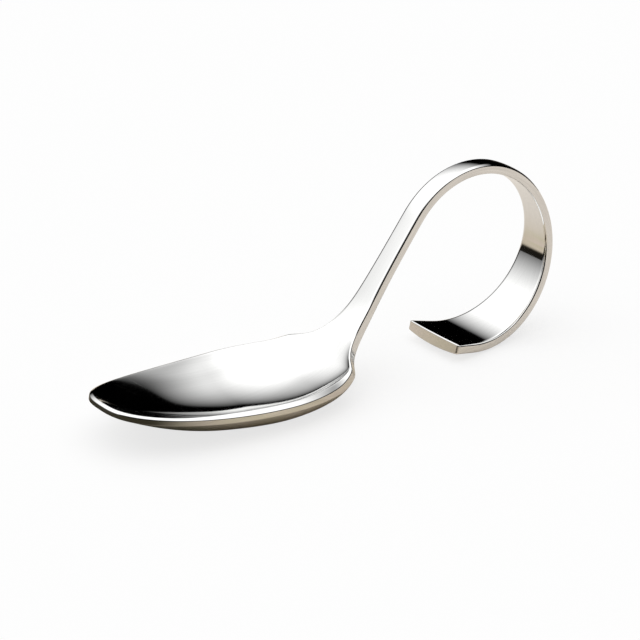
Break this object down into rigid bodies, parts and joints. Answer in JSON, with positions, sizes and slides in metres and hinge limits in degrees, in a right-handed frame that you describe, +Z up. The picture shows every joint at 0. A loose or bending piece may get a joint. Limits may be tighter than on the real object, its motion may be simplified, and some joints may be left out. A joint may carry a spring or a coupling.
{
  "type": "tasting spoon",
  "caption": "Polished steel tasting spoon: an egg-shaped shallow bowl on a narrow handle that rises and curls back into a wide finger loop, so that the spoon stands by itself.",
  "frame": {"origin": "centre of the small worn flat under the bowl, on the table", "axes": "+X from the tip of the bowl to the finger loop, +Y across the spoon, +Z up from the table"},
  "size_m": [0.1129, 0.0324, 0.0406],
  "materials": {
    "polished_steel": null
  },
  "bodies": {
    "root": {"bowl": "polished_steel", "neck": "polished_steel", "stem": "polished_steel", "curl": "polished_steel", "handle_end": "polished_steel"}
  },
  "joints": []
}
